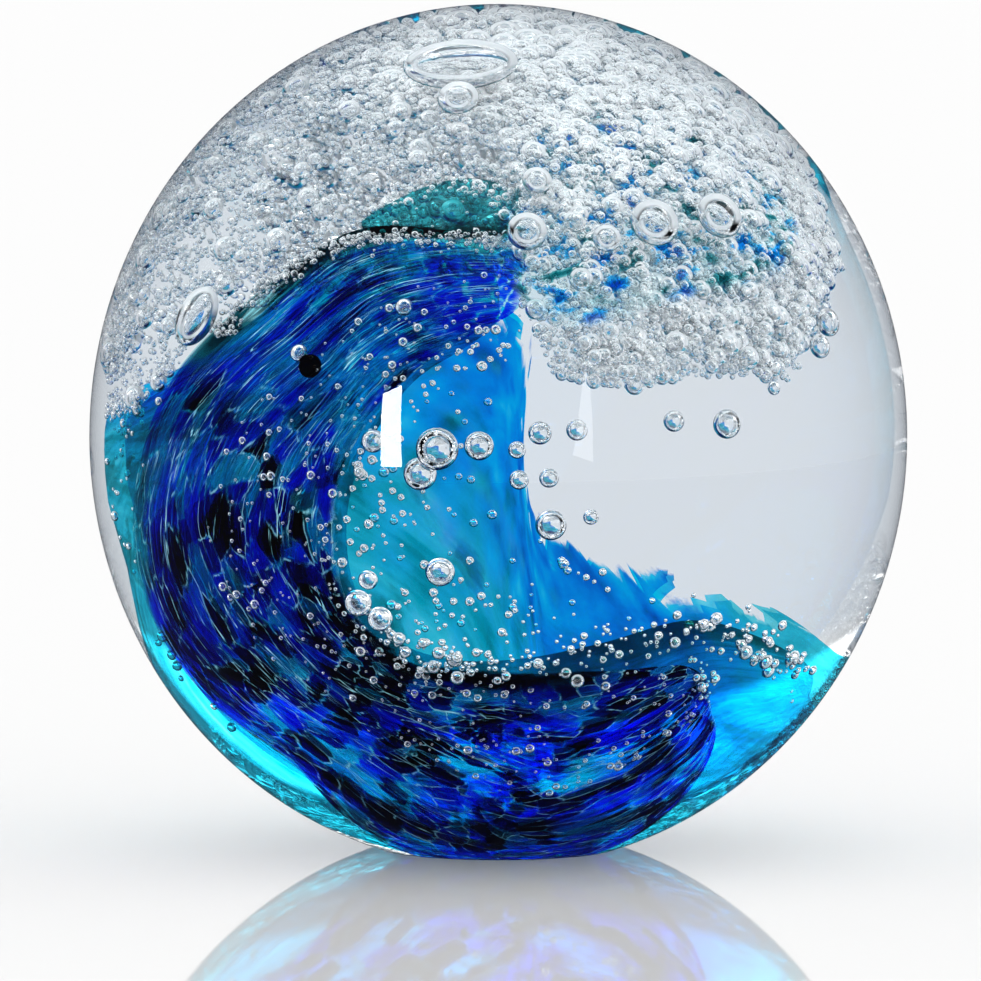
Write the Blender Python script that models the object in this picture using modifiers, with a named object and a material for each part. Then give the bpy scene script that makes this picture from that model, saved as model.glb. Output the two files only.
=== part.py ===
"""Glass wave paperweight: a hand-blown ball with a curling wave, a cap of foam and trapped bubbles.

The ball is laid up the way a glassmaker lays it up, from the inside out. A clear core on a punty neck
is wrapped in turquoise glass, cobalt glass is pressed into that, a fizzed cap is set on top, and a thick
clear casing goes over everything. The bottom is ground flat, which cuts the neck and the casing off level.
Bubbles are air trapped between a pricked pit in an inner piece and the casing over it.

Metres, +Z up, -Y is the side the wave faces. The origin is the middle of the ground base.
A place on the inner body is given by its longitude, 0 at the front and +90 at the right, and its latitude.
"""

import math

import bmesh
import bpy
from mathutils import Matrix, Vector

MM = 0.001

# The ball: an upright ellipsoid with its bottom ground away
BALL_RADIUS = 40.0 * MM
BALL_HALF_HEIGHT = 42.25 * MM
GROUND_OFF = 1.85 * MM
ARRIS = 0.5 * MM
BALL_SEGMENTS = 44
BALL_STEPS = 18

# The inner body, a ball a little off the middle, and the neck that it was held by
BODY_RADIUS = 26.0 * MM
BODY_SHIFT_X = 0.8 * MM
BODY_SHIFT_Z = -0.8 * MM
NECK_RADIUS = 6.0 * MM
NECK_ROOT = 8.0 * MM
BODY_SEGMENTS = 36
BODY_RINGS = 18
NECK_SEGMENTS = 24

# Every two pieces of glass are this far apart, and a cutter breaks through a surface by this much
GAP = 0.3 * MM
BREAK_THROUGH = 1.5 * MM

# The glass laid on the body: how deep each piece reaches below the body's surface
TURQUOISE_DEPTH = 3.8 * MM
COBALT_DEPTH = 1.9 * MM
TONGUE_DEPTH = 1.6 * MM
SPRAY_DEPTH = 2.2 * MM
FOAM_DEPTH = 2.6 * MM
FOAM_RISE = 4.0 * MM

# How square a sheet's edge and its two ends are: 2 is an ellipse, more is squarer. The shoulder is how
# far down its thickness the outer face is taken to reach
EDGE_SQUARENESS = 3.5
END_SQUARENESS = 5.0
SHOULDER = 0.4

# Faces round a section and along each sheet, and round and down the foam cap
BOWL_FACES = (28, 32)
WAVE_FACES = (20, 30)
TONGUE_FACES = (12, 14)
SPRAY_FACES = (14, 14)
FOAM_FACES = (45, 14)

# Turquoise bowl, from the crest round the left side to the right tip: each station is the front edge,
# a place between, and the back edge
TURQUOISE_STATIONS = [
    ((0, 20), (-2, 32), (-3, 44)),
    ((-8, 17), (-14, 31), (-20, 46)),
    ((-18, 12), (-30, 25), (-42, 38)),
    ((-26, 3), (-46, 13), (-68, 20)),
    ((-32, -8), (-63, -2), (-98, 2)),
    ((-35, -20), (-82, -18), (-135, 6)),
    ((-35, -31), (-110, -36), (-166, 11)),
    ((-29, -41), (-138, -62), (-179, 6)),
    ((-15, -46), (-172, -76), (179, -6)),
    ((3, -46), (150, -80), (171, -13)),
    ((23, -42), (102, -66), (164, -17)),
    ((45, -37), (90, -50), (154, -20)),
    ((70, -35), (100, -42), (140, -26)),
]

# Cobalt wave, laid into the bowl: front edge and outer edge
COBALT_STATIONS = [
    ((-4, 24), (-5, 40)),
    ((-11, 22), (-20, 41)),
    ((-22, 16), (-41, 33)),
    ((-31, 7), (-63, 17)),
    ((-37, -5), (-88, -1)),
    ((-40, -18), (-108, -14)),
    ((-40, -30), (-122, -30)),
    ((-34, -38), (-132, -50)),
    ((-22, -46), (-110, -70)),
    ((-3, -51), (-20, -78)),
    ((20, -48), (42, -70)),
    ((40, -44), (64, -60)),
]

# Crest tongue, a leaf of teal glass that lies along the top of the crest
TONGUE_STATIONS = [
    ((-50, 44), (-52, 47)),
    ((-36, 44), (-42, 53)),
    ((-20, 52), (-22, 61)),
    ((-9, 51), (-8, 56)),
]

# Azure spray, a streak of glass under the foam at the right
SPRAY_STATIONS = [
    ((18, 40), (14, 48)),
    ((30, 40), (26, 58)),
    ((48, 38), (48, 62)),
    ((66, 36), (74, 56)),
    ((80, 38), (84, 46)),
]

# Foam cap: the latitude of its lower edge at each longitude
FOAM_EDGE = [
    (-175, 21),
    (-150, 18),
    (-125, 13),
    (-105, 9),
    (-90, 14),
    (-76, 25),
    (-60, 38),
    (-45, 57),
    (-25, 65),
    (-6, 61),
    (8, 26),
    (20, 13),
    (42, 14),
    (60, 14),
    (78, 20),
    (95, 30),
    (120, 38),
    (150, 30),
]

# Trapped bubbles: longitude, latitude, width across and height up the body
BUBBLES = [
    (-12, 79, 7.0 * MM, 3.6 * MM),
    (-70, 52, 3.2 * MM, 3.2 * MM),
    (42, 45, 4.8 * MM, 4.8 * MM),
    (66, 45, 4.4 * MM, 4.4 * MM),
    (10, 44, 3.8 * MM, 3.8 * MM),
    (27, 38, 2.8 * MM, 2.8 * MM),
    (45, 4, 3.0 * MM, 3.0 * MM),
    (33, 5, 2.2 * MM, 2.2 * MM),
    (14, 3, 2.2 * MM, 2.2 * MM),
    (5, 2, 2.4 * MM, 2.4 * MM),
    (9, -16, 3.2 * MM, 3.2 * MM),
    (-6, -2, 3.0 * MM, 3.0 * MM),
    (-15, -3, 4.0 * MM, 4.0 * MM),
    (-14, -25, 3.0 * MM, 3.0 * MM),
    (84, 9, 2.8 * MM, 2.8 * MM),
    (-62, 1, 2.4 * MM, 2.4 * MM),
    (-56, -36, 2.6 * MM, 2.6 * MM),
    (20, -58, 2.2 * MM, 2.2 * MM),
]
BUBBLE_SEGMENTS = 10
BUBBLE_RINGS = 6

CENTRE_HEIGHT = BALL_HALF_HEIGHT - GROUND_OFF
BODY_CENTRE = Vector((BODY_SHIFT_X, 0.0, CENTRE_HEIGHT + BODY_SHIFT_Z))
FOAM_BOTTOM = BODY_RADIUS - FOAM_DEPTH


def direction(lon, lat):
    """The way from the body's centre to a place on it, as a unit vector."""
    turn, rise = math.radians(lon), math.radians(lat)
    return Vector(
        (math.sin(turn) * math.cos(rise), -math.cos(turn) * math.cos(rise), math.sin(rise))
    )


def glass(name, colour, roughness=0.05):
    """A see-through glass of one colour."""
    material = bpy.data.materials.new(name)
    material.use_nodes = True
    shader = material.node_tree.nodes["Principled BSDF"]
    shader.inputs["Base Color"].default_value = (*colour, 1.0)
    shader.inputs["Roughness"].default_value = roughness
    shader.inputs["Metallic"].default_value = 0.0
    shader.inputs["IOR"].default_value = 1.5
    shader.inputs["Transmission Weight"].default_value = 1.0
    return material


def add_object(name, mesh, collection, material=None):
    """Puts a mesh in a collection as an object, shaded smooth up to a fixed corner angle."""
    made = bpy.data.objects.new(name, mesh)
    collection.objects.link(made)
    mesh.shade_smooth()
    mesh.set_sharp_from_angle(angle=math.radians(40))
    if material:
        mesh.materials.append(material)
    return made


def mesh_from(bm, name):
    """Ends a bmesh as a mesh whose faces point outwards, also where the pressing turned it inside out.

    Its faces are split into triangles here, so that a piece and the pocket made from it fold alike.
    """
    if bm.calc_volume(signed=True) < 0:
        bmesh.ops.reverse_faces(bm, faces=bm.faces)
    bmesh.ops.triangulate(bm, faces=bm.faces)
    mesh = bpy.data.meshes.new(name)
    bm.to_mesh(mesh)
    bm.free()
    return mesh


def apply_modifiers(made):
    """Replaces an object's mesh by what its modifiers make of it."""
    view = bpy.context.evaluated_depsgraph_get()
    finished = bpy.data.meshes.new_from_object(made.evaluated_get(view))
    made.modifiers.clear()
    made.data = finished


def boolean(made, operation, cutters):
    """Cuts each cutter out of an object, or joins it on."""
    for cutter in cutters:
        step = made.modifiers.new(operation.title(), "BOOLEAN")
        step.operation = operation
        step.solver = "EXACT"
        step.object = cutter
    bpy.context.view_layer.update()
    apply_modifiers(made)


def as_cutter(made):
    """Marks a helper object, which isn't part of the paperweight."""
    made.hide_render = True
    made.display_type = "WIRE"
    return made


def fattened(made, name, collection, shoulder, outwards=0.0, inwards=0.0):
    """A cutter that is one gap larger than a piece all round, for the pocket the piece lies in.

    What lies beyond the shoulder's radius can be drawn out further, and what lies within it further in,
    so that the cutter breaks clean through the surface that the pocket opens on.
    """
    bm = bmesh.new()
    bm.from_mesh(made.data)
    bm.normal_update()
    moves = []
    for vertex in bm.verts:
        out = vertex.co - BODY_CENTRE
        draw = outwards if out.length > shoulder else -inwards
        moves.append(vertex.normal * GAP + out.normalized() * draw)
    for vertex, move in zip(bm.verts, moves):
        vertex.co += move
    return as_cutter(add_object(name, mesh_from(bm, name), collection))


def turned(name, profile, segments, collection, material=None):
    """A solid of revolution about Z from an (across, up) profile that runs from the top to the bottom."""
    mesh = bpy.data.meshes.new(name)
    points = [(across, 0.0, up) for across, up in profile]
    edges = [(i, i + 1) for i in range(len(points) - 1)]
    mesh.from_pydata(points, edges, [])
    made = add_object(name, mesh, collection, material)
    screw = made.modifiers.new("Screw", "SCREW")
    screw.axis = "Z"
    screw.steps = segments
    screw.render_steps = segments
    screw.use_merge_vertices = True
    screw.merge_threshold = 0.01 * MM
    screw.use_smooth_shade = True
    bpy.context.view_layer.update()
    apply_modifiers(made)
    return made


def ball_profile():
    """The outside of the ball from its top to the middle of its ground base, with a small arris."""
    base_turn = math.acos(-CENTRE_HEIGHT / BALL_HALF_HEIGHT)
    base_radius = BALL_RADIUS * math.sin(base_turn)
    arris_turn = math.acos((ARRIS - CENTRE_HEIGHT) / BALL_HALF_HEIGHT)
    profile = []
    for step in range(BALL_STEPS + 1):
        turn = arris_turn * step / BALL_STEPS
        across = BALL_RADIUS * math.sin(turn)
        profile.append((across, CENTRE_HEIGHT + BALL_HALF_HEIGHT * math.cos(turn)))
    profile.append((base_radius - ARRIS, 0.0))
    profile.append((0.0, 0.0))
    return profile


def body_ball(name, radius, collection, material=None):
    """The inner body's round part."""
    bm = bmesh.new()
    bmesh.ops.create_uvsphere(
        bm, u_segments=BODY_SEGMENTS, v_segments=BODY_RINGS, radius=radius
    )
    bmesh.ops.translate(bm, verts=bm.verts, vec=BODY_CENTRE)
    return add_object(name, mesh_from(bm, name), collection, material)


def neck(name, radius, bottom, collection):
    """The punty neck, from well inside the body down to a level."""
    top = CENTRE_HEIGHT + BODY_SHIFT_Z - BODY_RADIUS + NECK_ROOT
    bm = bmesh.new()
    bmesh.ops.create_cone(
        bm,
        cap_ends=True,
        segments=NECK_SEGMENTS,
        radius1=radius,
        radius2=radius,
        depth=top - bottom,
        matrix=Matrix.Translation((BODY_SHIFT_X, 0.0, (top + bottom) / 2)),
    )
    return as_cutter(add_object(name, mesh_from(bm, name), collection))


def along_stations(rows, share):
    """A smooth place along a list of vectors, with share from 0 at the first to 1 at the last."""
    spans = len(rows) - 1
    at = min(max(share, 0.0), 1.0) * spans
    i = min(int(at), spans - 1)
    t = at - i
    before, start = rows[max(i - 1, 0)], rows[i]
    end, after = rows[i + 1], rows[min(i + 2, spans)]
    return (
        start * 2
        + (end - before) * t
        + (before * 2 - start * 5 + end * 4 - after) * t**2
        + (start * 3 - before - end * 3 + after) * t**3
    ) / 2


def squared(value, squareness):
    """A sine or cosine bent so that a circle drawn with it becomes a squarer loop."""
    return math.copysign(abs(value) ** (2 / squareness), value)


def sheet(name, stations, top, bottom, faces, collection, material):
    """A curved closed sheet of glass, pressed out of a ball of glass.

    The ball's axis becomes the line of stations. Each ring of the ball becomes one section, whose half
    turns are the outer face, at radius top, and the inner face, at radius bottom.
    """
    first = [direction(*station[0]) for station in stations]
    last = [direction(*station[-1]) for station in stations]
    middle = []
    for station, a, b in zip(stations, first, last):
        through = direction(*station[1]) if len(station) == 3 else (a + b).normalized()
        middle.append((through * 4 - a - b) / 2)
    bm = bmesh.new()
    bmesh.ops.create_uvsphere(bm, u_segments=faces[0], v_segments=faces[1], radius=1.0)
    for vertex in bm.verts:
        height = min(max(vertex.co.z, -1.0), 1.0)
        share = math.acos(height) / math.pi
        fullness = (1 - abs(height) ** END_SQUARENESS) ** (1 / END_SQUARENESS)
        turn = math.atan2(vertex.co.y, vertex.co.x)
        across = (1 + fullness * squared(math.cos(turn), EDGE_SQUARENESS)) / 2
        depth = (1 - fullness * squared(math.sin(turn), EDGE_SQUARENESS)) / 2
        a, m, b = (along_stations(rows, share) for rows in (first, middle, last))
        way = a * (1 - across) ** 2 + m * 2 * across * (1 - across) + b * across**2
        vertex.co = BODY_CENTRE + way.normalized() * (top + (bottom - top) * depth)
    return add_object(name, mesh_from(bm, name), collection, material)


def foam_edge(lon):
    """The latitude of the foam's lower edge at any longitude."""
    lon = (lon + 180) % 360 - 180
    edge = [(FOAM_EDGE[-1][0] - 360, FOAM_EDGE[-1][1]), *FOAM_EDGE]
    edge.append((FOAM_EDGE[0][0] + 360, FOAM_EDGE[0][1]))
    for (west, low), (east, high) in zip(edge, edge[1:]):
        if west <= lon <= east:
            t = (lon - west) / (east - west)
            return low + (high - low) * t * t * (3 - 2 * t)
    return edge[0][1]


def foam_top(lon, lat):
    """The radius of the foam's outer face: proud of the body, and level with it at its edge."""
    out = min((90 - lat) / (90 - foam_edge(lon)), 1.0)
    return BODY_RADIUS + FOAM_RISE * (1 - out**2)


def foam_cap(collection, material):
    """The fizzed cap: a ball of glass pressed over the body's top, down to an uneven edge."""
    bm = bmesh.new()
    bmesh.ops.create_uvsphere(bm, u_segments=FOAM_FACES[0], v_segments=FOAM_FACES[1], radius=1.0)
    for vertex in bm.verts:
        height = min(max(vertex.co.z, -1.0), 1.0)
        lon = math.degrees(math.atan2(vertex.co.x, -vertex.co.y))
        out = math.cos(math.asin(height)) ** (2 / EDGE_SQUARENESS)
        if abs(height) > 0.9999:
            lon, out = 0.0, 0.0
        lat = 90 - (90 - foam_edge(lon)) * out
        up = (1 + squared(height, EDGE_SQUARENESS)) / 2
        radius = FOAM_BOTTOM + (foam_top(lon, lat) - FOAM_BOTTOM) * up
        vertex.co = BODY_CENTRE + direction(lon, lat) * radius
    return add_object("foam_cap", mesh_from(bm, "foam_cap"), collection, material)


def bubble_cutter(collection):
    """One cutter with a flattened ball for each trapped bubble, half in the inner piece, half above it."""
    bm = bmesh.new()
    for lon, lat, width, height in BUBBLES:
        out = direction(lon, lat)
        east = direction(lon + 90, 0)
        north = out.cross(east) * -1
        radius = max(foam_top(lon, lat), BODY_RADIUS) if lat > foam_edge(lon) else BODY_RADIUS
        centre = BODY_CENTRE + out * (radius + GAP / 2)
        axes = Matrix((east, north, out)).transposed().to_4x4()
        size = Matrix.Diagonal((width / 2, height / 2, min(width, height) / 2, 1))
        bmesh.ops.create_uvsphere(
            bm,
            u_segments=BUBBLE_SEGMENTS,
            v_segments=BUBBLE_RINGS,
            radius=1.0,
            matrix=Matrix.Translation(centre) @ axes @ size,
        )
    return as_cutter(add_object("bubbles", mesh_from(bm, "bubbles"), collection))


def build():
    for old in list(bpy.data.objects):
        bpy.data.objects.remove(old)
    ball = bpy.data.collections.new("glass_wave_paperweight")
    cutters = bpy.data.collections.new("cutters")
    for collection in (ball, cutters):
        bpy.context.scene.collection.children.link(collection)

    clear = glass("clear_glass", (0.86, 0.88, 0.91))
    turquoise = glass("turquoise_glass", (0.02, 0.55, 0.66))
    cobalt = glass("cobalt_glass", (0.0, 0.02, 0.62))
    teal = glass("teal_glass", (0.02, 0.42, 0.46))
    azure = glass("azure_glass", (0.05, 0.45, 0.85))
    fizz = glass("foam_glass", (0.80, 0.86, 0.88), roughness=0.3)

    top = BODY_RADIUS
    bowl = sheet(
        "turquoise_bowl", TURQUOISE_STATIONS, top, top - TURQUOISE_DEPTH, BOWL_FACES, ball, turquoise
    )
    wave = sheet("cobalt_wave", COBALT_STATIONS, top, top - COBALT_DEPTH, WAVE_FACES, ball, cobalt)
    tongue = sheet("crest_tongue", TONGUE_STATIONS, top, top - TONGUE_DEPTH, TONGUE_FACES, ball, teal)
    spray_top = FOAM_BOTTOM - GAP
    spray = sheet(
        "azure_spray", SPRAY_STATIONS, spray_top, spray_top - SPRAY_DEPTH, SPRAY_FACES, ball, azure
    )
    foam = foam_cap(ball, fizz)

    shoulders = {
        bowl: top - TURQUOISE_DEPTH * SHOULDER,
        wave: top - COBALT_DEPTH * SHOULDER,
        tongue: top - TONGUE_DEPTH * SHOULDER,
        spray: spray_top - SPRAY_DEPTH * SHOULDER,
        foam: top - FOAM_DEPTH * SHOULDER,
    }
    pockets = {
        piece: fattened(piece, piece.name + "_pocket", cutters, shoulder, outwards=BREAK_THROUGH)
        for piece, shoulder in shoulders.items()
    }
    dome = fattened(foam, "foam_dome", cutters, shoulders[foam], inwards=BREAK_THROUGH)
    neck_hole = neck("neck_hole", NECK_RADIUS + GAP, -BALL_RADIUS, cutters)
    neck_stub = neck("neck_stub", NECK_RADIUS, 0.0, cutters)
    cavity = body_ball("cavity", BODY_RADIUS + GAP, cutters)
    bubbles = bubble_cutter(cutters)

    core = body_ball("clear_core", BODY_RADIUS, ball, clear)
    boolean(core, "DIFFERENCE", pockets.values())
    boolean(core, "UNION", [neck_stub])
    boolean(bowl, "DIFFERENCE", [pockets[wave], neck_hole])
    boolean(wave, "DIFFERENCE", [neck_hole])

    casing = turned("clear_casing", ball_profile(), BALL_SEGMENTS, ball, clear)
    boolean(casing, "DIFFERENCE", [as_cutter(cavity), dome, neck_hole])
    for piece in (casing, core, bowl, wave, tongue, foam):
        boolean(piece, "DIFFERENCE", [bubbles])


build()
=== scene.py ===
# %% [markdown]
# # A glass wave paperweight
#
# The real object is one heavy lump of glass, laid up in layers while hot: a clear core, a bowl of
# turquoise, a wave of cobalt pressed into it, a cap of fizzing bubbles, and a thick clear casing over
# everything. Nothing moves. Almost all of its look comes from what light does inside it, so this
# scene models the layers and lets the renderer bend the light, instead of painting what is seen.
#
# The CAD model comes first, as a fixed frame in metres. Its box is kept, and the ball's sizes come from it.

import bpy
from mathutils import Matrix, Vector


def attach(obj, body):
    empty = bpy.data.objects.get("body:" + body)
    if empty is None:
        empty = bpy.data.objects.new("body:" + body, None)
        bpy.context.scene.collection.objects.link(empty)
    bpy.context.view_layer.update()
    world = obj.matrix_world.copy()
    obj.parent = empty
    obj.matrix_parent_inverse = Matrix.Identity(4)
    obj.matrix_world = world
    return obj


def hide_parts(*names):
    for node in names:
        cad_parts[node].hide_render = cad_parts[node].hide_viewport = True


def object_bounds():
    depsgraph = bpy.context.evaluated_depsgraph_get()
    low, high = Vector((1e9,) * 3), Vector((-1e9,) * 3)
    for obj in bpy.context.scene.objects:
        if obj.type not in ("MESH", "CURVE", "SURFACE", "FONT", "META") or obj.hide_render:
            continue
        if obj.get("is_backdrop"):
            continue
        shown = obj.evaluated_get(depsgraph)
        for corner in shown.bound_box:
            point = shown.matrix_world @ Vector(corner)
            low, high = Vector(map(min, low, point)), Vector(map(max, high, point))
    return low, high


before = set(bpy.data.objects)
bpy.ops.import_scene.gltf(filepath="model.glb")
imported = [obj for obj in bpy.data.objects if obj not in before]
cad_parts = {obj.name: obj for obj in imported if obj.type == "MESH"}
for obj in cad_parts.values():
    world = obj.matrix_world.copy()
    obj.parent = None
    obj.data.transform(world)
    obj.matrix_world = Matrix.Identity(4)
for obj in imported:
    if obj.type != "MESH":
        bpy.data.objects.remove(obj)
cad_low, cad_high = (corner.copy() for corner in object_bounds())

import math
import random

import bmesh
import bpy
from mathutils import Matrix, Vector, noise

MM = 0.001
print("CAD nodes:", ", ".join(sorted(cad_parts)))
print("box in mm:", [round(side / MM, 2) for side in cad_high - cad_low])

# %% [markdown]
# ## The ball's measures
#
# The ball is an upright ellipsoid that stands on a small ground flat. Its width and height come from
# the CAD box. Inside it the colours lie on a ball of glass of 26 mm radius, a little off the middle.
# A place on that body is given by its longitude, 0 at the front and +90 at the right, and its latitude.
# Both were read off the photograph, so they are counted from the camera, which looks down a little.

# %% Sizes and places
BALL_RADIUS = (cad_high.x - cad_low.x) / 2
GROUND_OFF = 1.85 * MM
BALL_HALF_HEIGHT = (cad_high.z - cad_low.z + GROUND_OFF) / 2
CENTRE = Vector((0, 0, BALL_HALF_HEIGHT - GROUND_OFF))
BODY_RADIUS = 26 * MM
BODY = CENTRE + Vector((0.8, 0, -0.8)) * MM
GLASS_IOR = 1.5
CAMERA_RISE = math.radians(4)
FROM_CAMERA = Matrix.Rotation(-CAMERA_RISE, 3, "X")


def direction(lon, lat):
    """The way from the body's centre to a place on it, as a unit vector."""
    turn, rise = math.radians(lon), math.radians(lat)
    level = (math.sin(turn) * math.cos(rise), -math.cos(turn) * math.cos(rise), math.sin(rise))
    return FROM_CAMERA @ Vector(level)


def place(lon, lat, radius):
    """A point inside the ball, in metres."""
    return BODY + direction(lon, lat) * radius


print("ball centre at", [round(x / MM, 2) for x in CENTRE], "mm")

# %% [markdown]
# ## The camera
#
# The photograph looks at the ball nearly level, from about 4 degrees above, through a long lens, and
# the ball's middle is above the middle of the picture. A small lens shift does that without tilting.

# %% Camera
FRAME_PX = 981
BALL_PX = (498.3, 436.0)
BALL_HALF_PX = 409.0
CAMERA_DISTANCE = 0.9

camera = bpy.data.objects.new("camera", bpy.data.cameras.new("camera"))
bpy.context.scene.collection.objects.link(camera)
bpy.context.scene.camera = camera
camera_back = Vector((0, -math.cos(CAMERA_RISE), math.sin(CAMERA_RISE)))
camera.location = CENTRE + camera_back * CAMERA_DISTANCE
camera.rotation_euler = camera_back.to_track_quat("Z", "Y").to_euler()
lens = camera.data
lens.sensor_width = 36
half_angle = math.asin(BALL_RADIUS / CAMERA_DISTANCE)
lens.lens = lens.sensor_width * BALL_HALF_PX / FRAME_PX / math.tan(half_angle)
lens.shift_x = 0.5 - BALL_PX[0] / FRAME_PX
lens.shift_y = BALL_PX[1] / FRAME_PX - 0.5
lens.clip_start = 0.01
print("lens", round(lens.lens), "mm")

# %% [markdown]
# ## Where a pixel of the photograph lies inside the glass
#
# The casing is a strong lens. What looks as if it lay at the rim is really 26 mm from the middle. So a
# place that is read off the photograph is followed inwards: from the camera through the pixel to the
# glass, bent there by Snell's law, and on to a ball of a given radius around the body's centre.

# %% Follow a pixel into the ball
def on_skin(px, py):
    """Where a pixel meets the ball's skin: the point, the way of looking and the skin's normal."""
    scale = lens.sensor_width / lens.lens
    seen = Vector(
        (
            (px / FRAME_PX - 0.5 + lens.shift_x) * scale,
            (0.5 - py / FRAME_PX + lens.shift_y) * scale,
            -1,
        )
    )
    start = camera.location
    way = (camera.rotation_euler.to_matrix() @ seen).normalized()
    squeeze = Vector((1 / BALL_RADIUS, 1 / BALL_RADIUS, 1 / BALL_HALF_HEIGHT))
    s, w = (start - CENTRE) * squeeze, way * squeeze
    half = s.dot(w) / w.dot(w)
    rest = half * half - (s.dot(s) - 1) / w.dot(w)
    skin = start + way * (-half - math.sqrt(max(rest, 0.0)))
    return skin, way, ((skin - CENTRE) * squeeze * squeeze).normalized()


def through_glass(px, py, radius, far=False):
    """The point at that radius that shows at a pixel of the photograph, on the near or the far side."""
    skin, way, normal = on_skin(px, py)
    facing = -way.dot(normal)
    bend = 1 / GLASS_IOR
    inner = way * bend + normal * (bend * facing - math.sqrt(1 - bend**2 * (1 - facing**2)))
    out = skin - BODY
    half = out.dot(inner)
    rest = half * half - (out.dot(out) - radius * radius)
    step = math.sqrt(max(rest, 0.0))
    return skin + inner * (-half + (step if far else -step))


NEAR_HALF_MAGNIFIES = 1.18


def shown_size(radius_px):
    """The real radius of something in the near half of the ball that shows with a radius in pixels."""
    return radius_px * BALL_RADIUS / BALL_HALF_PX / NEAR_HALF_MAGNIFIES


middle_point = through_glass(*BALL_PX, BODY_RADIUS)
print("the ball's middle shows a point at", [round(x / MM, 1) for x in middle_point], "mm")

# %% [markdown]
# ## Tools for shapes
#
# Every sheet of coloured glass is pressed out of a gob, as on the real piece: the shape starts as a
# plain ball, whose axis is laid along a line of stations and whose rings become flat sections. Each
# station is a front edge, a place between, which may be left out, and a back edge. The ball keeps the
# sheet closed, and the same two numbers that place a point, along and across, become its UV map, so a
# pattern can flow along the glass.

# %% Shape helpers
def along_stations(rows, share):
    """A smooth place along a list of vectors, with share from 0 at the first to 1 at the last."""
    spans = len(rows) - 1
    at = min(max(share, 0.0), 1.0) * spans
    i = min(int(at), spans - 1)
    t = at - i
    before, start = rows[max(i - 1, 0)], rows[i]
    end, after = rows[i + 1], rows[min(i + 2, spans)]
    return (
        start * 2
        + (end - before) * t
        + (before * 2 - start * 5 + end * 4 - after) * t**2
        + (start * 3 - before - end * 3 + after) * t**3
    ) / 2


def squared(value, squareness):
    """A sine or cosine bent so that a circle drawn with it becomes a squarer loop."""
    return math.copysign(abs(value) ** (2 / squareness), value)


def finish_mesh(bm, name, material, node=None):
    """Ends a bmesh as a smooth piece of the object, and hides the CAD nodes it stands in for."""
    if bm.calc_volume(signed=True) < 0:
        bmesh.ops.reverse_faces(bm, faces=bm.faces)
    mesh = bpy.data.meshes.new(name)
    bm.to_mesh(mesh)
    bm.free()
    mesh.shade_smooth()
    mesh.materials.append(material)
    piece = bpy.data.objects.new(name, mesh)
    bpy.context.scene.collection.objects.link(piece)
    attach(piece, "root")
    if node:
        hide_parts(*([node] if isinstance(node, str) else node))
    print(name, len(mesh.polygons), "faces")
    return piece


def eased(value, low, high):
    """0 below low, 1 above high, and smooth between."""
    t = min(max((value - low) / (high - low), 0.0), 1.0)
    return t * t * (3 - 2 * t)


def pressed_sheet(stations, radius, thickness, around, along, edge=3.5):
    """A bmesh of a curved closed sheet, with along and across as its UV map.

    Its radius is a function of those two numbers and of how far down the place lies, up to 1."""
    first = [direction(*station[0]) for station in stations]
    last = [direction(*station[-1]) for station in stations]
    middle = []
    for station, a, b in zip(stations, first, last):
        through = direction(*station[1]) if len(station) == 3 else (a + b).normalized()
        middle.append((through * 4 - a - b) / 2)
    bm = bmesh.new()
    bmesh.ops.create_uvsphere(bm, u_segments=around, v_segments=along, radius=1.0)
    flow = {}
    for vertex in bm.verts:
        height = min(max(vertex.co.z, -1.0), 1.0)
        share = math.acos(height) / math.pi
        fullness = (1 - abs(height) ** 8) ** (1 / 8)
        turn = math.atan2(vertex.co.y, vertex.co.x)
        across = (1 + fullness * squared(math.cos(turn), edge)) / 2
        depth = (1 - fullness * squared(math.sin(turn), edge)) / 2
        a, m, b = (along_stations(rows, share) for rows in (first, middle, last))
        way = a * (1 - across) ** 2 + m * 2 * across * (1 - across) + b * across**2
        way.normalize()
        vertex.co = BODY + way * (radius(share, across, -way.z) - thickness * depth)
        flow[vertex] = (share, across)
    layer = bm.loops.layers.uv.verify()
    for face in bm.faces:
        for loop in face.loops:
            loop[layer].uv = flow[loop.vert]
    return bm


# %% [markdown]
# ## Tools for materials
#
# Shader maths reads best as plain sums, so one small class wraps a socket and lets Python's own signs
# add the Math nodes. Every other node comes from one method.

# %% Material helpers
class Wire:
    """A socket of a node tree that can stand in a sum."""

    def __init__(self, recipe, socket):
        self.recipe, self.socket = recipe, socket

    def math(self, operation, *values):
        """A Math node with these values."""
        return self.recipe.add("ShaderNodeMath", {"operation": operation}, dict(enumerate(values)))

    def __add__(self, other):
        return self.math("ADD", self, other)

    def __sub__(self, other):
        return self.math("SUBTRACT", self, other)

    def __rsub__(self, other):
        return self.math("SUBTRACT", other, self)

    def __mul__(self, other):
        return self.math("MULTIPLY", self, other)

    __radd__, __rmul__ = __add__, __mul__


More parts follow.
